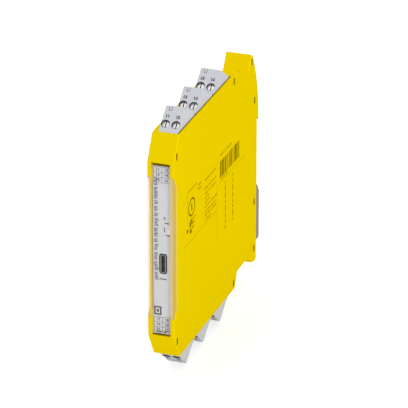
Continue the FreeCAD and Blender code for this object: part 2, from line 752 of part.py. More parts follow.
# Plugs, each in its own frame: X across, Y back from its front, Z up from the housing's edge
COS = math.cos(math.radians(SCREW_TILT))
SIN = math.sin(math.radians(SCREW_TILT))
plug_rise = place("plug_rise", d.plug_run * (SIN / COS))


def along_screw(inward, outward_wire):
    """Place at a depth below the screw face and a distance out along the wire, as (depth, height)."""
    inward, outward_wire = as_size(inward), as_size(outward_wire)
    return (
        d.screw_run + inward * SIN + outward_wire * COS,
        d.screw_run * (SIN / COS) + outward_wire * SIN - inward * COS,
    )


def tilted(low_s, high_s, low_t, high_t):
    """A rectangle in the screw's own directions."""
    return [
        along_screw(low_s, low_t),
        along_screw(high_s, low_t),
        along_screw(high_s, high_t),
        along_screw(low_s, high_t),
    ]


head_end = place("head_end", d.head_sink + d.head_height)
cage_room = place("cage_room", head_end + d.web)
clamp_height = place("clamp_height", 2 * d.clamp_bar + d.contact_thick + d.wire_room + d.fit_gap)
clamp_start = place("clamp_start", cage_room + d.clamp_travel + 2 * d.fit_gap)
bar_start = place("bar_start", clamp_start + d.clamp_bar + d.fit_gap)
bar_end = place("bar_end", bar_start + d.contact_thick)
cage_end = place("cage_end", clamp_start + clamp_height + 2 * d.fit_gap)
bar_middle = (bar_start + bar_end) / 2
leg_along = place("leg_along", (d.pin_setback - d.screw_run - bar_middle * SIN) / COS)
bar_reach = place("bar_reach", d.pin_size / 2 + d.contact_thick - leg_along)


def make_plug(name):
    body = body_of(name)
    profile = [
        (0.0, -d.plug_sink),
        (0.0, 0.0),
        (d.plug_run, plug_rise),
        (plug_length, d.plug_tail),
        (plug_length, -d.plug_sink),
    ]
    slab(body, "profile", profile, plug_width)
    half_cage = d.clamp_length / 2 + 2 * d.fit_gap
    wire_low = bar_end
    wire_high = clamp_start + clamp_height - d.clamp_bar
    for pole, shift in pole_places():
        room = tilted(cage_room, cage_end, -half_cage, half_cage)
        slab(body, pole + "_cage_room", room, d.clamp_width + 4 * d.fit_gap, shift, cut=True)
        wire = tilted(wire_low, wire_high, 0.0, 2 * plug_length)
        slab(body, pole + "_wire_entry", wire, d.wire_hole, shift, cut=True)
        slope = (plug_rise - d.plug_tail) / (plug_length - d.plug_run)
        reach = 0.45 * d.wire_room
        centre_y = d.plug_run + d.funnel_run
        centre_z = plug_rise - slope * d.funnel_run
        mouth = [
            (centre_y - reach - 1, centre_z + slope * (reach + 1) + 1),
            (centre_y - reach, centre_z + slope * reach - d.funnel_depth),
            (centre_y + reach + 1.4, centre_z - slope * (reach + 1.4) - d.funnel_depth),
            (centre_y + reach + 2.2, centre_z - slope * (reach + 2.2) + 1),
        ]
        slab(body, pole + "_funnel", mouth, d.funnel_width, shift, cut=True)
        bar = tilted(bar_start - d.fit_gap, bar_end + d.fit_gap, -bar_reach - d.fit_gap, 0.0)
        slab(body, pole + "_bar_room", bar, d.contact_width + 2 * d.fit_gap, shift, cut=True)
        leg = contact_leg(d.fit_gap)
        slab(body, pole + "_leg_room", leg, d.contact_width + 2 * d.fit_gap, shift, cut=True)
        make_screw_hole(body, pole, shift)
    return body


def contact_leg(margin):
    """Upright leg of the current bar, which takes the header's pin."""
    half_leg = d.pin_size / 2 + d.contact_thick + margin
    joint = along_screw(bar_middle, leg_along)
    return rectangle(
        d.pin_setback - half_leg, d.pin_setback + half_leg, -d.plug_sink - (1 if margin else -0.3), joint[1]
    )


def make_screw_hole(body, pole, shift):
    """Stepped hole for a screw, turned about the screw's axis."""
    sketch = sketch_on(body, pole + "_screw_hole", SIDE, shift)
    wide = d.head_radius + 3 * d.fit_gap
    narrow = d.thread_radius + d.fit_gap
    points = [
        along_screw(-2.0, 0.0),
        along_screw(-2.0, wide),
        along_screw(head_end + d.fit_gap, wide),
        along_screw(head_end + d.fit_gap, narrow),
        along_screw(cage_room + 1.0, narrow),
        along_screw(cage_room + 1.0, 0.0),
    ]
    outline(sketch, points)
    groove = body.newObject("PartDesign::Groove", pole + "_screw_hole_cut")
    groove.Profile = sketch
    axis_edge = len(points)
    groove.ReferenceAxis = (sketch, [f"Edge{axis_edge}"])
    groove.Angle = 360
    sketch.Visibility = False


def make_contacts(name):
    body = body_of(name)
    for pole, shift in pole_places():
        bar = tilted(bar_start, bar_end, -bar_reach, d.clamp_length / 2 - 0.3)
        slab(body, pole + "_bar", bar, d.contact_width, shift)
        slab(body, pole + "_leg", contact_leg(0), d.contact_width, shift)
        slot = d.pin_size / 2 + d.fit_gap / 2
        tip = header_level + d.pin_reach - half + d.fit_gap
        hole = rectangle(d.pin_setback - slot, d.pin_setback + slot, -d.plug_sink - 1, tip)
        slab(body, pole + "_slot", hole, 2 * slot, shift, cut=True)
    return body


def make_screw(name):
    """Slotted screw, its head up, origin on the plug's screw face."""
    body = body_of(name)
    sketch = sketch_on(body, "turned", FRONT)
    tip = bar_start - 2 * d.fit_gap
    outline(sketch, [
        (0.0, -tip),
        (d.thread_radius - 0.3, -tip),
        (d.thread_radius, -tip + 0.3),
        (d.thread_radius, -head_end),
        (d.head_radius, -head_end),
        (d.head_radius, -d.head_sink - 0.25),
        (d.head_radius - 0.25, -d.head_sink),
        (0.0, -d.head_sink),
    ])
    turned = body.newObject("PartDesign::Revolution", "screw_turned")
    turned.Profile = sketch
    turned.ReferenceAxis = (sketch, ["V_Axis"])
    turned.Angle = 360
    sketch.Visibility = False
    slot = sketch_on(body, "slot", FRONT)
    half_slot = d.driver_slot / 2
    outline(slot, rectangle(-half_slot, half_slot, -d.head_sink - d.head_height / 2, 0.0))
    grow(body, slot, 3 * d.head_radius, "PartDesign::Pocket", both=True)
    return body


def make_clamp(name):
    """Rising cage, its threaded bar up, origin on the plug's screw face."""
    body = body_of(name)
    wide = d.clamp_width / 2
    top = -clamp_start
    foot = -clamp_start - clamp_height
    sketch = outline(sketch_on(body, "cage", FRONT), rectangle(-wide, wide, foot, top))
    grow(body, sketch, d.clamp_length, both=True)
    inner = wide - d.clamp_side
    sketch = outline(
        sketch_on(body, "window", FRONT), rectangle(-inner, inner, foot + d.clamp_bar, top - d.clamp_bar)
    )
    grow(body, sketch, 2 * d.clamp_length, "PartDesign::Pocket", both=True)
    sketch = circle(sketch_on(body, "thread", PLAN, top), 0.0, 0.0, d.thread_radius + d.fit_gap)
    grow(body, sketch, 1.5 * d.clamp_bar, "PartDesign::Pocket")
    return body


def make_terminals():
    """All plugs with their screws, clamps and current bars, set in their cells."""
    face_y, face_z = along_screw(0.0, 0.0)
    tilt = FreeCAD.Placement(V(0, face_y.value, face_z.value), FreeCAD.Rotation(V(1, 0, 0), SCREW_TILT))
    for side, sign in (("top", 1), ("bottom", -1)):
        for index in range(PLUGS_PER_SIDE):
            name = f"{side}_plug_{index + 1}"
            turn = FreeCAD.Rotation(V(0, 1, 0), 0 if sign > 0 else 180)
            seat = FreeCAD.Placement(
                V(plug_middle.value, plug_front(index).value, middle.value + sign * half.value), turn
            )
            make_plug(name).Placement = seat
            make_contacts(name + "_contacts").Placement = seat
            for pole, shift in pole_places():
                spot = FreeCAD.Placement(V(shift.value, 0, 0), FreeCAD.Rotation())
                local = seat.multiply(spot).multiply(tilt)
                make_screw(f"{name}_screw_{pole}").Placement = local
                make_clamp(f"{name}_clamp_{pole}").Placement = local


def make_latch():
    body = body_of("foot_latch")
    top = middle - d.latch_top
    foot = top - d.latch_length
    neck_y = d.rail_flange + d.flange_play
    plate_back = neck_y + d.latch_plate
    flange_room = -rail_top - d.flange_play
    plate = [
        (neck_y, foot),
        (neck_y, top),
        (neck_y + d.latch_tip, top),
        (plate_back, top - d.latch_chamfer),
        (plate_back, foot),
    ]
    slab(body, "outer_plate", plate, d.latch_width)
    seat = d.latch_play
    neck = rectangle(seat, neck_y, foot + d.latch_hem, flange_room)
    slab(body, "neck", neck, d.latch_width - 2 * d.latch_hem)
    tab_foot = middle - half + d.latch_travel - d.latch_hem / 2
    guide = rectangle(-d.latch_depth, seat, tab_foot + d.latch_hem, flange_room)
    slab(body, "guide", guide, d.latch_neck)
    tab = rectangle(-d.latch_depth, -d.latch_hem, tab_foot, tab_foot + d.latch_hem)
    slab(body, "pull_tab", tab, d.latch_neck)
    return body


make_housing()
make_side_cover()
make_front_panel()
make_clear_cover()
make_usb()
make_lamps()
make_board()
make_components()
for side, sign in (("top", 1), ("bottom", -1)):
    make_pins(side, sign)
make_latch()
make_terminals()
doc.recompute()


def sub_parts():
    """Every body and every plain block or cylinder."""
    return [
        item for item in doc.Objects
        if item.TypeId in ("PartDesign::Body", "Part::Box", "Part::Cylinder")
    ]


faults = []
for item in doc.Objects:
    if "Invalid" in item.State or "Error" in item.State:
        faults.append(f"{item.Name} ({item.Label}): {item.State}")
for item in sub_parts():
    if item.Shape.isNull() or not item.Shape.isValid() or not item.Shape.Solids:
        faults.append(f"{item.Label}: no valid solid")
if faults:
    raise RuntimeError("; ".join(faults))

os.makedirs("parts", exist_ok=True)
for item in sub_parts():
    item.Shape.exportStep(os.path.join("parts", item.Label + ".step"))
    print(f"{item.Label}: {len(item.Shape.Solids)} solids, {item.Shape.Volume:.1f} mm3")
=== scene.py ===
import math
import random
from itertools import count

import bpy
from mathutils import Matrix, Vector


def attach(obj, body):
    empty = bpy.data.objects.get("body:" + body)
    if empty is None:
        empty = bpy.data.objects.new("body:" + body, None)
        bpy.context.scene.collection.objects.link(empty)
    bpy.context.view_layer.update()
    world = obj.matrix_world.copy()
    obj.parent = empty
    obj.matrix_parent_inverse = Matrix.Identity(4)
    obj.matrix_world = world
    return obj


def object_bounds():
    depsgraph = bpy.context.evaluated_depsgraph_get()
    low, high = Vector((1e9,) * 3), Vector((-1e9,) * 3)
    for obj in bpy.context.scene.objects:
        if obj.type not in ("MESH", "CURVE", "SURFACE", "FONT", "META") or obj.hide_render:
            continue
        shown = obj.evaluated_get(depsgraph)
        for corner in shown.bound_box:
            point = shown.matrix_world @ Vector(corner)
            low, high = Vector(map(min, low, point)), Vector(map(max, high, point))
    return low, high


# Looks of a slim safety relay module for a 35 mm rail. The frame is in metres, X to the right, Y from the front
# to the rail, Z up. Sizes and places of added pieces are written in millimetres, and MM turns them into metres.

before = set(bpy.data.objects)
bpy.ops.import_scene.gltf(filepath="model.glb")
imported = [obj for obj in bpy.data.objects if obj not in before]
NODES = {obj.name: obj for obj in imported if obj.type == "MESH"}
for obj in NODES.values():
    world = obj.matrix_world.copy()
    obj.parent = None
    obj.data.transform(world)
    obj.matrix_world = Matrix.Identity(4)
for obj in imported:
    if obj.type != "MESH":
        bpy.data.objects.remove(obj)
cad_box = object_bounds()

MM = 0.001

# Main planes of the module
RIGHT_WALL = 6.15
FRONT_PLANE = -109.0
PANEL_FACE = -107.4
MID_HEIGHT = -1.7


# Shader nodes
def node(tree, kind, links=None, **settings):
    """A node with its settings, its inputs linked or set by name."""
    made = tree.nodes.new(kind)
    for key, value in settings.items():
        setattr(made, key, value)
    for label, source in (links or {}).items():
        socket = made.inputs[label]
        if isinstance(source, bpy.types.NodeSocket):
            tree.links.new(source, socket)
        else:
            socket.default_value = source
    return made


def maths(tree, operation, *values):
    """The result of a Math node."""
    return node(tree, "ShaderNodeMath", dict(enumerate(values)), operation=operation).outputs[0]


def ramp(tree, value, start, end, low, high):
    """Low up to start, high from end on, even in between."""
    limits = {"Value": value, "From Min": start, "From Max": end, "To Min": low, "To Max": high}
    return node(tree, "ShaderNodeMapRange", limits).outputs[0]


def moulded_grain():
    """Shared group: the fine spark texture and the faint flow marks of moulded plastic."""
    tree = bpy.data.node_groups.new("moulded_grain", "ShaderNodeTree")
    for label, value in (("Fine", 5200.0), ("Flow", 60.0), ("Roughness", 0.45), ("Spread", 0.08), ("Shade", 0.05)):
        socket = tree.interface.new_socket(name=label, in_out="INPUT", socket_type="NodeSocketFloat")
        socket.default_value = value
    for label in ("Height", "Roughness", "Tone"):
        tree.interface.new_socket(name=label, in_out="OUTPUT", socket_type="NodeSocketFloat")
    ins = tree.nodes.new("NodeGroupInput").outputs
    outs = tree.nodes.new("NodeGroupOutput").inputs
    place = node(tree, "ShaderNodeTexCoord").outputs["Object"]
    fine = node(tree, "ShaderNodeTexNoise", {"Vector": place, "Scale": ins["Fine"], "Detail": 4.0})
    flow = node(tree, "ShaderNodeTexNoise", {"Vector": place, "Scale": ins["Flow"], "Detail": 3.0})
    centred = maths(tree, "SUBTRACT", flow.outputs["Fac"], 0.5)
    tree.links.new(fine.outputs["Fac"], outs["Height"])
    tree.links.new(maths(tree, "MULTIPLY_ADD", centred, ins["Spread"], ins["Roughness"]), outs["Roughness"])
    tree.links.new(maths(tree, "MULTIPLY_ADD", centred, ins["Shade"], 1.0), outs["Tone"])
    return tree


GRAIN = moulded_grain()
GRAIN_DEPTH = 0.05 * MM


def material(name, colour, roughness, bump, grain=None, **sockets):
    """A Principled material whose tone, gloss and relief come from the shared grain."""
    made = bpy.data.materials.new(name)
    made.use_nodes = True
    tree = made.node_tree
    shader = tree.nodes["Principled BSDF"]
    texture = tree.nodes.new("ShaderNodeGroup")
    texture.node_tree = GRAIN
    texture.inputs["Roughness"].default_value = roughness
    for label, value in (grain or {}).items():
        texture.inputs[label].default_value = value
    toned = node(tree, "ShaderNodeVectorMath", {0: colour, "Scale": texture.outputs["Tone"]}, operation="SCALE")
    relief = node(
        tree, "ShaderNodeBump",
        {"Height": texture.outputs["Height"], "Strength": bump, "Distance": GRAIN_DEPTH},
    )
    tree.links.new(toned.outputs[0], shader.inputs["Base Color"])
    tree.links.new(texture.outputs["Roughness"], shader.inputs["Roughness"])
    tree.links.new(relief.outputs["Normal"], shader.inputs["Normal"])
    for label, value in sockets.items():
        shader.inputs[label.replace("_", " ")].default_value = value
    return made


def print_ink(name, colour, shade):
    """A dull ink or painted shadow."""
    return material(name, colour, 0.6, 0.03, {"Shade": shade}, Specular_IOR_Level=0.0)


# The yellow has no white gloss: its shine is tinted, and comes from a small metallic share.
YELLOW = material(
    "yellow_polyamide", (0.80, 0.595, 0.0), 0.4, 0.1,
    Metallic=0.06, Specular_IOR_Level=0.0, Specular_Tint=(1.0, 0.8, 0.0, 1.0),
)
PANEL = material("pale_grey_panel", (0.62, 0.62, 0.66), 0.5, 0.08)
GREY = material("light_grey_polyamide", (0.54, 0.55, 0.59), 0.5, 0.1, Specular_IOR_Level=0.3)
LATCH = material("dark_grey_polyamide", (0.19, 0.18, 0.21), 0.5, 0.1, Specular_IOR_Level=0.3)
BLACK = material("black_polyamide", (0.012, 0.012, 0.013), 0.4, 0.1, Specular_IOR_Level=0.1)
LAMP = material("milky_lamp_window", (0.66, 0.66, 0.68), 0.35, 0.03)
BOARD = material("green_lacquer", (0.02, 0.11, 0.05), 0.3, 0.05)
CAN = material("drawn_aluminium", (0.75, 0.76, 0.78), 0.3, 0.02, Metallic=1.0)
STEEL = material("zinc_steel", (0.55, 0.55, 0.54), 0.3, 0.02, Metallic=1.0)
SOCKET = material("dull_socket_steel", (0.02, 0.02, 0.02), 0.5, 0.02, Metallic=1.0)
SCREW = material("bright_screw_steel", (0.52, 0.52, 0.52), 0.38, 0.02, Metallic=1.0)
BRASS = material("tinned_brass", (0.66, 0.52, 0.26), 0.32, 0.02, Metallic=1.0)
CLEAR = material("clear_polycarbonate", (0.80, 0.60, 0.16), 0.12, 0.02, {"Spread": 0.02, "Shade": 0.02})

# The dark ink is print, and also painted shade in the snap windows and on the lip above the flap.
INK_AND_SHADE = print_ink("dark_print_and_shade", (0.22, 0.14, 0.0), 0.3)
GREY_INK = print_ink("grey_print", (0.10, 0.10, 0.12), 0.2)
PALE_INK = print_ink("pale_print", (0.08, 0.085, 0.11), 0.3)
# The faint ink is print, and also painted shade along the edges of the snap windows.
FAINT_INK_AND_SHADE = print_ink("faint_print_and_shade", (0.46, 0.32, 0.0), 0.6)
WHITE_INK = material("white_print", (0.84, 0.84, 0.84), 0.5, 0.03, {"Shade": 0.1})
WELL_SHADE = print_ink("well_shade", (0.07, 0.07, 0.08), 0.2)
SHADE = print_ink("brown_shade", (0.10, 0.065, 0.0), 0.2)

# The clear flap: half the width of its thin plate, the turn to its skirts, where they thin out, and its foot,
# with the share of what lies behind that each of them hides.
PLATE_HALF = 4.0 * MM
SKIRT_AT = PLATE_HALF + 0.4 * MM
THIN_FROM = PLATE_HALF + 1.1 * MM
THIN_TO = PLATE_HALF + 2.1 * MM
FOOT_FROM = -40.0 * MM
FOOT_TO = -40.5 * MM
PLATE_VEIL = 0.02
SKIRT_VEIL = 0.6
THIN_SHARE = 0.4
FOOT_VEIL = 0.22
PLATE_COLOUR = (0.74, 0.70, 0.58, 1.0)

# Sockets of the Mix node when it mixes colours
MIX_FACTOR, MIX_FIRST, MIX_SECOND, MIX_RESULT = 0, 6, 7, 2


def veil_flap(made):
    """Lets the flap's plate show what is behind it, its foot less so, and its thick skirts the least."""
    tree = made.node_tree
    shader = tree.nodes["Principled BSDF"]
    place = node(tree, "ShaderNodeTexCoord")
    split = node(tree, "ShaderNodeSeparateXYZ", {0: place.outputs["Object"]})
    across = maths(tree, "ABSOLUTE", split.outputs["X"])
    skirts = ramp(tree, across, PLATE_HALF, SKIRT_AT, PLATE_VEIL, SKIRT_VEIL)
    thinned = maths(tree, "MULTIPLY", skirts, ramp(tree, across, THIN_FROM, THIN_TO, 1.0, THIN_SHARE))
    foot = ramp(tree, split.outputs["Z"], FOOT_FROM, FOOT_TO, 0.0, FOOT_VEIL)
    tree.links.new(maths(tree, "MAXIMUM", thinned, foot), shader.inputs["Alpha"])
    tint = node(
        tree, "ShaderNodeMix",
        {
            MIX_FACTOR: ramp(tree, across, PLATE_HALF, SKIRT_AT, 0.0, 1.0),
            MIX_FIRST: PLATE_COLOUR,
            MIX_SECOND: shader.inputs["Base Color"].links[0].from_socket,
        },
        data_type="RGBA",
    )
    tree.links.new(tint.outputs[MIX_RESULT], shader.inputs["Base Color"])


veil_flap(CLEAR)

FINISH = {
    "housing_shell": YELLOW, "side_cover": YELLOW, "front_panel": PANEL, "clear_cover": CLEAR,
    "usb_shell": SOCKET, "usb_tongue": BLACK, "light_pipe": LAMP, "status_lamps": LAMP, "main_board": BOARD,
    "relay_upper": BLACK, "relay_lower": BLACK, "transformer": BLACK, "capacitor": CAN, "logic_chips": BLACK,
    "top_header": GREY, "bottom_header": GREY, "top_pins": BRASS, "bottom_pins": BRASS, "foot_latch": LATCH,
}
for name, item in NODES.items():
    if "_screw_" in name:
        finish = SCREW
    elif "_clamp_" in name:
        finish = STEEL
    elif name.endswith("_contacts"):
        finish = BRASS
    elif "_plug_" in name:
        finish = GREY
    else:
        finish = FINISH[name]
    item.data.materials.clear()
    item.data.materials.append(finish)


# Camera, world, floor and lamps
PHOTO_WIDTH = 408
FOCAL_PIXELS = 4000.84
SENSOR = 36.0
CAMERA_PLACE = (0.53265, -1.56222, 0.71751)
CAMERA_DOWN = 0.423225
CAMERA_TURN = 0.339442
WORLD_LIGHT = 0.42
FLOOR_LIFT = 0.4
FLOOR_GAP = 0.2 * MM
AIM = (0, -0.05, 0)
LAMPS = (
    ("key", (1.3, -1.3, 0.6), 0.9, 20.5),
    ("top", (-0.3, 0.2, 1.8), 1.2, 12.0),
    ("fill", (-1.4, 0.5, 0.7), 1.2, 9.0),
)


def deselect():
    """Leaves nothing selected, so that the next operators act on the new mesh alone."""
    bpy.ops.object.select_all(action="DESELECT")


def make_camera():
    """The camera at the photograph's viewpoint."""
    bpy.ops.object.camera_add(location=CAMERA_PLACE, rotation=(math.pi / 2 - CAMERA_DOWN, 0, CAMERA_TURN))
    camera = bpy.context.object
    camera.data.sensor_width = SENSOR
    camera.data.lens = SENSOR * FOCAL_PIXELS / PHOTO_WIDTH
    camera.data.clip_start = 0.1
    camera.data.clip_end = 20.0
    bpy.context.scene.camera = camera


def backdrop_rays(tree):
    """1 for rays that see the white background, 0 for those that light the module."""
    path = node(tree, "ShaderNodeLightPath").outputs
    seen = maths(tree, "MAXIMUM", path["Is Camera Ray"], path["Is Glossy Ray"])
    return maths(tree, "MAXIMUM", seen, path["Is Transmission Ray"])


def make_world():
    """Soft light from all around, and a white background."""
    world = bpy.data.worlds.new("studio")
    bpy.context.scene.world = world
    world.use_nodes = True
    tree = world.node_tree
    light = tree.nodes["Background"]
    light.inputs["Color"].default_value = (1, 1, 1, 1)
    light.inputs["Strength"].default_value = WORLD_LIGHT
    white = node(tree, "ShaderNodeBackground", {"Color": (1, 1, 1, 1), "Strength": 1.0})
    mix = node(tree, "ShaderNodeMixShader", {0: backdrop_rays(tree), 1: light.outputs[0], 2: white.outputs[0]})
    tree.links.new(mix.outputs[0], tree.nodes["World Output"].inputs["Surface"])


def make_floor():
    """A pale paper floor that is seen as white and keeps the module's shadow."""
    deselect()
    bpy.ops.mesh.primitive_plane_add(size=6.0, location=(0, 0, 0))
    floor = bpy.context.object
    floor.name = "studio_floor"
    bpy.ops.object.mode_set(mode="EDIT")
    bpy.ops.mesh.subdivide(number_cuts=8)
    bpy.ops.object.mode_set(mode="OBJECT")
    floor.location.z = cad_box[0][2] - FLOOR_GAP
    bpy.ops.object.transform_apply(location=True, rotation=True, scale=True)
    paper = bpy.data.materials.new("pale_paper")
    paper.use_nodes = True
    tree = paper.node_tree
    shader = tree.nodes["Principled BSDF"]
    place = node(tree, "ShaderNodeTexCoord").outputs["Object"]
    speckle = node(tree, "ShaderNodeTexNoise", {"Vector": place, "Scale": 40.0})
    tree.links.new(ramp(tree, speckle.outputs["Fac"], 0.0, 1.0, 0.9, 0.93), shader.inputs["Base Color"])
    shader.inputs["Roughness"].default_value = 1.0
    shader.inputs["Specular IOR Level"].default_value = 0.0
    power = maths(tree, "MULTIPLY", backdrop_rays(tree), FLOOR_LIFT)
    lift = node(tree, "ShaderNodeEmission", {"Color": (1, 1, 1, 1), "Strength": power})
    both = node(tree, "ShaderNodeAddShader", {0: shader.outputs[0], 1: lift.outputs[0]})
    tree.links.new(both.outputs[0], tree.nodes["Material Output"].inputs["Surface"])
    floor.data.materials.append(paper)


def area_light(name, place, size, power):
    """A square lamp turned towards the module."""
    bpy.ops.object.light_add(type="AREA", location=place)
    lamp = bpy.context.object
    lamp.name = name
    lamp.data.size = size
    lamp.data.energy = power
    x, y, z = (a - p for a, p in zip(AIM, place))
    lamp.rotation_euler = (math.atan2(math.hypot(x, y), -z), 0, math.atan2(y, x) - math.pi / 2)


# Making and joining pieces
def only(item):
    """Selects one object and nothing else."""
    deselect()
    item.select_set(True)
    bpy.context.view_layer.objects.active = item


def settle(item):
    """Puts the object's place into its mesh."""
    only(item)
    bpy.ops.object.transform_apply(location=True, rotation=True, scale=True)


def placed(item, matrix):
    """Moves a mesh that was drawn about the origin to its place."""
    settle(item)
    item.matrix_world = matrix
    settle(item)
    return item


def copied(item, matrix):
    """A copy with its own mesh, at its place."""
    only(item)
    bpy.ops.object.duplicate()
    return placed(bpy.context.object, matrix)


def shift(x, y, z):
    """A move in millimetres."""
    return Matrix.Translation((x * MM, y * MM, z * MM))


def bar(centre, size):
    """A block at its place and size."""
    deselect()
    bpy.ops.mesh.primitive_cube_add(size=1, location=[c * MM for c in centre], scale=[s * MM for s in size])
    return bpy.context.object


def joined(name, items, finish, body, soften=0.0):
    """Makes several meshes one finished piece that rides on a body, its edges softened where that is wanted."""
    deselect()
    for item in items:
        item.select_set(True)
    bpy.context.view_layer.objects.active = items[0]
    if len(items) > 1:
        bpy.ops.object.join()
    piece = bpy.context.view_layer.objects.active
    piece.name = name
    settle(piece)
    if soften:
        edge = piece.modifiers.new("soft_edges", "BEVEL")
        edge.width = soften * MM
        edge.segments = 2
        edge.limit_method = "ANGLE"
        bpy.ops.object.modifier_apply(modifier=edge.name)
    piece.data.materials.clear()
    piece.data.materials.append(finish)
    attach(piece, body)


NUMBER_SIZE = 1.9
FIRST_NUMBER = 11


def numeral(number, matrix, thickness, weight):
    """A generic number as a mesh. The matrix takes it from the XY plane to its face."""
    deselect()
    bpy.ops.object.text_add()
    item = bpy.context.object
    item.data.body = str(number)
    item.data.size = NUMBER_SIZE * MM
    item.data.align_x = "CENTER"
    item.data.align_y = "CENTER"
    item.data.extrude = thickness / 2 * MM
    item.data.offset = weight * MM
    item.data.resolution_u = 3
    bpy.ops.object.convert(target="MESH")
    return placed(bpy.context.object, matrix)


# Print on the right wall: depths are measured from the front, heights from the module's middle
INK_LIFT = 0.02
RULE = 0.24
WORD_HEIGHT = 0.9
COLUMN_WIDTH = 1.2
WORD_GAP = 0.8
LINE_RUNS = (1.4, 4.2)
COLUMN_RUNS = (1.2, 3.4)
FIELD_DEPTHS = (59.0, 85.0)
FIELD_HEIGHTS = (10.2, 18.2)
FIELD_BARS = (0.5, 0.9, 1.5)
FIELD_GAPS = (0.45, 0.6, 1.0)
RING_CENTRE = (22.1, 12.3)
RING_RADIUS = 3.9
RING_LINE = 0.42
RING_FLATNESS = 0.08
# Low and high depth, low and high height
TOP_RULE = (17, 28.6, 20.8, 21.15)
SIDE_MARKS = (
    (21.5, 22.7, 10.5, 14.1), (15.6, 17.4, 2.2, 3.8), (19.2, 20.6, 3.6, 6.0), (21.4, 22.6, 4.4, 6.4),
    (19.8, 22.0, 0.4, 1.8),
)
# Low and high depth, height
SIDE_LINES = (
    (59, 75, 21), (39, 55, 17.5), (39, 55, 13.5), (39, 54, 11), (39, 46, 9), (39, 46, 7), (39, 55, 4.8),
    (39, 53, 2.5), (39, 54, 0.7), (39, 47, -1.5), (60, 70, 9.2), (20, 27, 6.4), (19, 27, 4.4), (19, 25, 2.4),
    (30, 35, 19), (30, 34, 17),
)
# Depth, low and high height
SIDE_COLUMNS = ((66, -17, 6), (76, -17, 6))
SIDE_RULES = (
    (13, 55, -3.3 - RULE / 2, -3.3 + RULE / 2), (55 - RULE / 2, 55 + RULE / 2, -17, 8),
    (54, 92, 8 - RULE / 2, 8 + RULE / 2), (16.8, 17.1, 7, 21.15),
)


def side_bar(y_low, y_high, z_low, z_high):
    """A printed field on the right wall."""
    return bar(
        (RIGHT_WALL + INK_LIFT / 2, (y_low + y_high) / 2 + FRONT_PLANE, (z_low + z_high) / 2 + MID_HEIGHT),
        (INK_LIFT, y_high - y_low, z_high - z_low),
    )


def word_runs(low, high, lengths, dice):
    """Start and end of the blank marks that stand for a line of print."""
    start = low
    while start < high - WORD_GAP:
        end = start + min(dice.uniform(*lengths), high - start)
        yield start, end
        start = end + WORD_GAP


def print_ring():
    """A flat ring on the right wall."""
    deselect()
    bpy.ops.mesh.primitive_torus_add(
        major_radius=RING_RADIUS * MM, minor_radius=RING_LINE * MM, major_segments=48, minor_segments=6,
        location=(RIGHT_WALL * MM, (RING_CENTRE[0] + FRONT_PLANE) * MM, (RING_CENTRE[1] + MID_HEIGHT) * MM),
        rotation=(0, math.pi / 2, 0),
    )
    ring = bpy.context.object
    ring.scale = (1, 1, RING_FLATNESS)
    return ring


def print_side():
    """The strong marks of the right wall, then its faint lines of print and rules."""
    dice = random.Random(5)
    marks = [side_bar(*TOP_RULE)]
    y = FIELD_DEPTHS[0]
    while y < FIELD_DEPTHS[1]:
        width = dice.choice(FIELD_BARS)
        marks.append(side_bar(y, y + width, *FIELD_HEIGHTS))
        y += width + dice.choice(FIELD_GAPS)
    marks += [side_bar(*limits) for limits in SIDE_MARKS]
    marks.append(print_ring())
    joined("side_print", marks, INK_AND_SHADE, "housing")
    words = []
    for y_low, y_high, z in SIDE_LINES:
        for start, end in word_runs(y_low, y_high, LINE_RUNS, dice):
            words.append(side_bar(start, end, z - WORD_HEIGHT / 2, z + WORD_HEIGHT / 2))
    for y, z_low, z_high in SIDE_COLUMNS:
        for start, end in word_runs(z_low, z_high, COLUMN_RUNS, dice):
            words.append(side_bar(y - COLUMN_WIDTH / 2, y + COLUMN_WIDTH / 2, start, end))
    words += [side_bar(*limits) for limits in SIDE_RULES]
    joined("side_words", words, FAINT_INK_AND_SHADE, "housing")


# Print on the front panel: widths from its middle, heights from the module's middle
TABLE_HALF = 3.8
TABLE_LINE = 0.16
TABLE_HEIGHTS = ((38.4, 36.0, 33.6, 31.2), (-32.0, -34.4, -36.8, -39.2))
# Left and right, low and high
PANEL_MARKS = (
    (0.9, 1.5, 14.2, 15.4), (1.2, 3.2, 12.3, 12.8), (0.9, 1.3, 8.4, 10.6), (1.0, 2.4, 6.9, 7.1),
    (2.2, 3.95, 6.6, 7.2), (-1.2, 2.0, -14.1, -13.6),
)
SQUARE_FRAME = (-3.8, -0.4, -31.1, -27.0)
SQUARE_LINE = 0.7
SQUARE_DOT = (-2.6, -1.6, -29.7, -28.4)
LAMP_TAB = ((2.5, 3.95, 7.4, 9.6), (3.1, 3.95, 9.6, 11.4))
COLUMN_HEIGHTS = (-14.4, 30.2)
LETTER_COUNT = (3, 9)
LETTER_LEFT = (-3.7, -3.3)
LETTER_WIDTH = (1.2, 1.9)
LETTER_HEIGHT = 0.34
LETTER_STEP = 0.62
LETTER_GAP = 0.7


def front_bar(x_low, x_high, z_low, z_high):
    """A printed field on the front panel."""
    return bar(
        ((x_low + x_high) / 2, PANEL_FACE - INK_LIFT / 2, (z_low + z_high) / 2 + MID_HEIGHT),
        (x_high - x_low, INK_LIFT, z_high - z_low),
    )


def front_frame(x_low, x_high, z_low, z_high, line):
    """A printed square outline on the front panel."""
    return [
        front_bar(x_low, x_high, z_low, z_low + line),
        front_bar(x_low, x_high, z_high - line, z_high),
        front_bar(x_low, x_low + line, z_low + line, z_high - line),
        front_bar(x_high - line, x_high, z_low + line, z_high - line),
    ]


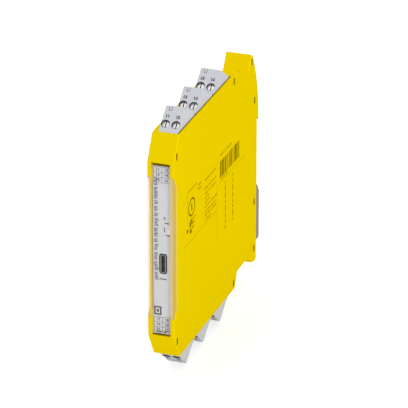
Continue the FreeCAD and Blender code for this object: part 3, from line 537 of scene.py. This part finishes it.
def print_tables():
    """The ruled tables at both ends of the panel, with a generic number in each field."""
    marks = []
    numbers = count(FIRST_NUMBER)
    upright = Matrix.Rotation(math.pi / 2, 4, "X")
    for heights in TABLE_HEIGHTS:
        for z in heights:
            marks.append(front_bar(-TABLE_HALF, TABLE_HALF, z - TABLE_LINE / 2, z + TABLE_LINE / 2))
        for x in (-TABLE_HALF, 0.0, TABLE_HALF):
            marks.append(front_bar(x - TABLE_LINE / 2, x + TABLE_LINE / 2, heights[-1], heights[0]))
        for high, low in zip(heights, heights[1:]):
            for x in (-TABLE_HALF / 2, TABLE_HALF / 2):
                face = shift(x, PANEL_FACE - INK_LIFT / 2, (high + low) / 2 + MID_HEIGHT)
                marks.append(numeral(next(numbers), face @ upright, INK_LIFT, 0.05))
    return marks


def print_front():
    """Tables, marks and the upright column of print on the panel, and the white tab beside the lamps."""
    marks = print_tables()
    marks += [front_bar(*limits) for limits in PANEL_MARKS]
    marks += front_frame(*SQUARE_FRAME, SQUARE_LINE)
    marks.append(front_bar(*SQUARE_DOT))
    joined("front_print", marks, GREY_INK, "housing")
    dice = random.Random(11)
    words = []
    z = COLUMN_HEIGHTS[0]
    while z < COLUMN_HEIGHTS[1]:
        for _ in range(dice.randint(*LETTER_COUNT)):
            start = dice.uniform(*LETTER_LEFT)
            words.append(front_bar(start, start + dice.uniform(*LETTER_WIDTH), z, z + LETTER_HEIGHT))
            z += LETTER_STEP
        z += LETTER_GAP
    joined("front_words", words, PALE_INK, "housing")
    joined("lamp_tab", [front_bar(*limits) for limits in LAMP_TAB], WHITE_INK, "housing")


# Plugs: where they stand, and the slope that carries their screws and marks
PLUG_MIDDLE = 0.85
FIRST_PLUG = -101.8
PLUG_PITCH = 22.2
PLUG_HEIGHT = 52.2
SLOPE = math.radians(40.0)
SCREW_RUN = 3.1
NUMBER_UP = 3.6
SQUARE_ACROSS = -1.9
SQUARE_UP = 7.4
WELL_RADIUS = 1.9
WELL_DEPTH = 0.86
WELL_WALL = 0.1
WELL_INSET = 0.01
SLOT_SIZE = (0.46, 3.3, 0.2)
SLOT_DEPTH = 1.5
# Centre and size of each stroke of the open square above the left screw
OPEN_SQUARE = (((-0.6, 0.0), (0.2, 2.0)), ((0.6, 0.0), (0.2, 2.0)), ((0.0, -0.9), (1.2, 0.2)))
PLUGS = [(side, index, f"{side}_plug_{index + 1}") for side in ("top", "bottom") for index in range(3)]
POLES = (("left", -2.35), ("right", 2.35))


def plug_seat(side, index):
    """Where a plug's own frame stands. The lower plugs are the upper ones turned over."""
    sign = 1 if side == "top" else -1
    place = shift(PLUG_MIDDLE, FIRST_PLUG + PLUG_PITCH * index, MID_HEIGHT + sign * PLUG_HEIGHT)
    return place @ Matrix.Rotation(0 if sign > 0 else math.pi, 4, "Y")


def on_slope(side, index, across, up):
    """A place on the plug's sloped face: across from its middle, up the slope from the screws."""
    run = SCREW_RUN + up * math.cos(SLOPE)
    return plug_seat(side, index) @ shift(across, run, run * math.tan(SLOPE)) @ Matrix.Rotation(SLOPE, 4, "X")


def mark_plugs():
    """A generic number at each screw and a small open square on every plug."""
    numbers = count(FIRST_NUMBER)
    for side, index, name in PLUGS:
        marks = []
        for _, across in POLES:
            marks.append(numeral(next(numbers), on_slope(side, index, across, NUMBER_UP), 0.06, 0.12))
        for (x, y), (width, height) in OPEN_SQUARE:
            stroke = bar((x, y, 0), (width, height, 0.06))
            marks.append(placed(stroke, on_slope(side, index, SQUARE_ACROSS, SQUARE_UP)))
        joined(name + "_marks", marks, GREY_INK, name)


def line_wells():
    """Painted shade lining the screw recesses, and painted shade on the floors of the screw heads' grooves."""
    deselect()
    bpy.ops.mesh.primitive_cylinder_add(
        radius=WELL_RADIUS * MM, depth=WELL_DEPTH * MM, vertices=40, end_fill_type="NOTHING"
    )
    well = bpy.context.object
    wall = well.modifiers.new("wall", "SOLIDIFY")
    wall.thickness = WELL_WALL * MM
    bpy.ops.object.modifier_apply(modifier=wall.name)
    slot_shade = bar((0, 0, 0), SLOT_SIZE)
    for side, index, name in PLUGS:
        well_shades = []
        for pole, across in POLES:
            face = on_slope(side, index, across, 0.0)
            well_shades.append(copied(well, face @ shift(0, 0, -WELL_INSET - WELL_DEPTH / 2)))
            floor = copied(slot_shade, face @ shift(0, 0, -SLOT_DEPTH))
            joined(f"{name}_slot_{pole}", [floor], WELL_SHADE, f"{name}_screw_{pole}", 0.03)
        joined(name + "_wells", well_shades, WELL_SHADE, name)
    for item in (well, slot_shade):
        only(item)
        bpy.ops.object.delete()


# Painted shade in the snap windows of the side cover, in the seams and in the gaps
WINDOWS = (
    (-105.7, 41.7), (-105.7, -45.1), (-31.4, 47.2), (-31.4, -50.6),
    (-7.2, 47.1), (-3.3, 27.1), (-3.3, -22.4), (-3.3, -45.5),
)
WINDOW_HALF = 0.8
# Centre and size of the painted shade in the gaps: below the flap, above it, and in its two finger notches
FLAP_SEAM_SHADES = (
    ((0, -107.75, -41.75), (8.1, 0.6, 0.3)), ((0, -107.44, 37.8), (8.1, 0.06, 1.3)),
    ((-1.4, -107.46, -40.75), (2.2, 0.1, 0.55)), ((1.1, -107.46, -40.75), (1.6, 0.1, 0.55)),
)
# Centre and size of the painted shade on the frame's lip just above the flap
FLAP_BROW_SHADE = ((0, -109.005, 38.85), (8.4, 0.03, 0.5))
# Painted shade in the gaps between the plugs and the side wall, with dots of it at the plugs' rear corners
SEAM_X = 5.3
PLUG_SEAM_SHADES = (("top", 50.5), ("bottom", -53.9))
PLUG_CORNER_SHADES = (-79.7, -57.5, -35.4)


def shade_windows():
    """Painted shade in the cover's windows over the tray's snap teeth, and soft painted shade along the windows'
    edges.
    """
    teeth = []
    rims = []
    for y, z in WINDOWS:
        teeth.append(bar((5.87, y, z), (0.36, 1.28, 3.18)))
        teeth.append(bar((6.08, y + 0.3, z), (0.1, 0.6, 2.6)))
        for side in (-WINDOW_HALF, WINDOW_HALF):
            rims.append(bar((RIGHT_WALL + 0.005, y + side, z), (0.03, 0.3, 3.2)))
    joined("snap_tooth_shade", teeth, INK_AND_SHADE, "housing", 0.05)
    joined("window_rim_shade", rims, FAINT_INK_AND_SHADE, "housing")


def shade_gaps():
    """Painted shade in the seams round the flap, the painted shadow under the frame's upper lip, and painted shade
    in the gaps beside the plugs and at their corners.
    """
    joined("flap_seam_shade", [bar(*limits) for limits in FLAP_SEAM_SHADES], SHADE, "housing", 0.03)
    joined("flap_brow_shade", [bar(*FLAP_BROW_SHADE)], INK_AND_SHADE, "housing", 0.01)
    for side, z in PLUG_SEAM_SHADES:
        strip = [bar((SEAM_X, -68.5, z), (0.14, 66.0, 0.5))]
        strip += [bar((SEAM_X, y, z), (0.16, 1.5, 1.1)) for y in PLUG_CORNER_SHADES]
        joined(side + "_plug_seam_shade", strip, SHADE, "housing", 0.03)


# Ring and rim of the USB socket
SOCKET_X = 0.45
SOCKET_Z = -6.6 + MID_HEIGHT


def choose_none(kind):
    """Leaves the active mesh with none of its edges or faces chosen, ready for a choice of that kind."""
    bpy.ops.object.mode_set(mode="EDIT")
    bpy.ops.mesh.select_mode(type=kind)
    bpy.ops.mesh.select_all(action="DESELECT")
    bpy.ops.object.mode_set(mode="OBJECT")


def socket_ring(name, width, height, corner, wall, depth, y, finish):
    """An upright ring with rounded corners: a block with its long edges rounded and its middle cut through."""
    ring = bar((SOCKET_X, y, SOCKET_Z), (width, depth, height))
    settle(ring)
    mesh = ring.data
    choose_none("EDGE")
    for edge in mesh.edges:
        start, end = (mesh.vertices[index].co for index in edge.vertices)
        edge.select = abs(start.y - end.y) > 0.5 * depth * MM
    bpy.ops.object.mode_set(mode="EDIT")
    bpy.ops.mesh.bevel(offset=corner * MM, segments=5, affect="EDGES")
    bpy.ops.object.mode_set(mode="OBJECT")
    choose_none("FACE")
    for face in mesh.polygons:
        face.select = abs(face.normal.y) > 0.9
    bpy.ops.object.mode_set(mode="EDIT")
    bpy.ops.mesh.inset(thickness=wall * MM)
    bpy.ops.mesh.bridge_edge_loops()
    bpy.ops.mesh.select_all(action="SELECT")
    bpy.ops.mesh.normals_make_consistent(inside=False)
    bpy.ops.object.mode_set(mode="OBJECT")
    joined(name, [ring], finish, "housing", 0.08)


print_side()
print_front()
mark_plugs()
shade_windows()
shade_gaps()
line_wells()
socket_ring("usb_gasket", 3.54, 9.5, 1.15, 0.68, 0.3, PANEL_FACE - 0.05, BLACK)
socket_ring("usb_rim", 2.3, 8.3, 0.66, 0.2, 0.24, PANEL_FACE - 0.02, CAN)
make_camera()
make_world()
make_floor()
for lamp_name, lamp_place, lamp_size, lamp_power in LAMPS:
    area_light(lamp_name, lamp_place, lamp_size, lamp_power)

bpy.context.scene.view_settings.view_transform = "Standard"
